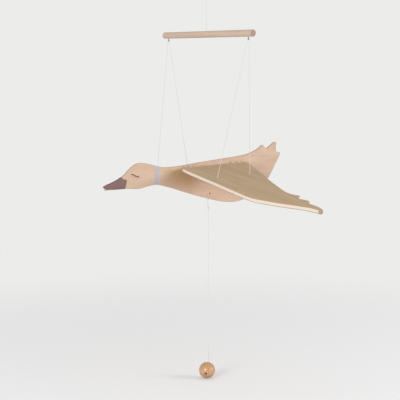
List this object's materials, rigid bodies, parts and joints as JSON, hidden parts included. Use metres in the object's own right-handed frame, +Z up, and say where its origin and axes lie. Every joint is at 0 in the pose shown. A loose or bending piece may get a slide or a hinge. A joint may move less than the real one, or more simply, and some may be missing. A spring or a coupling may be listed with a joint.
{
  "type": "hanging mobile sculpture",
  "caption": "Hanging mobile: a flat wooden goose whose hinged wings hang by threads from a crossbar and flap when the ball on its pull cord is drawn down.",
  "frame": {"origin": "inside top of the hanging loop, where a ceiling hook carries it", "axes": "+Z up along the hanging thread, goose's head towards -X and tail towards +X, its left wing towards -Y and its right wing towards +Y"},
  "size_m": [0.3196, 0.5776, 0.6115],
  "materials": {
    "bar_wood": "oiled beech dowel, fine straight grain",
    "body_wood": "beech plywood, fine short flecks, eased edges; beak, neck band and eye are painted on in the dressed scene",
    "wing_wood": "oak-toned plywood, long fine grain, pale cut edges",
    "ball_wood": "turned wooden ball, satin varnish",
    "thread": "twisted pale thread",
    "screw_steel": "small bright-drawn steel screw eyes"
  },
  "bodies": {
    "crossbar": {"crossbar": "bar_wood", "left_screw_eye": "screw_steel", "right_screw_eye": "screw_steel", "hanging_thread": "thread", "left_wing_thread": "thread", "right_wing_thread": "thread"},
    "goose": {"goose_body": "body_wood", "front_hinge_tie_1": "thread", "front_hinge_tie_2": "thread", "rear_hinge_tie_1": "thread", "rear_hinge_tie_2": "thread", "pull_cord": "thread", "wooden_ball": "ball_wood"},
    "left_wing": {"left_wing": "wing_wood", "left_front_thread_knot": "thread", "left_rear_thread_knot": "thread"},
    "right_wing": {"right_wing": "wing_wood", "right_front_thread_knot": "thread", "right_rear_thread_knot": "thread"}
  },
  "joints": [
    {"name": "goose_slide", "type": "slide", "parent": "crossbar", "child": "goose", "axis": [0, 0, -1], "range_m": [-0.008, 0.036], "stiffness_N_per_m": 40, "springref_m": 0.00679},
    {"name": "left_wing_hinge", "type": "hinge", "parent": "goose", "child": "left_wing", "pos_m": [0.00015, -0.00375, -0.28249], "axis": [-0.9981, 0, -0.061], "range_deg": [-6, 25.5]},
    {"name": "right_wing_hinge", "type": "hinge", "parent": "goose", "child": "right_wing", "pos_m": [0.00015, 0.00375, -0.28249], "axis": [0.9981, 0, 0.061], "range_deg": [-6, 25.5]}
  ],
  "couplings": [
    {"joint": "left_wing_hinge", "follows": "goose_slide", "rad_per_m": 12.1},
    {"joint": "right_wing_hinge", "follows": "goose_slide", "rad_per_m": 12.1}
  ]
}
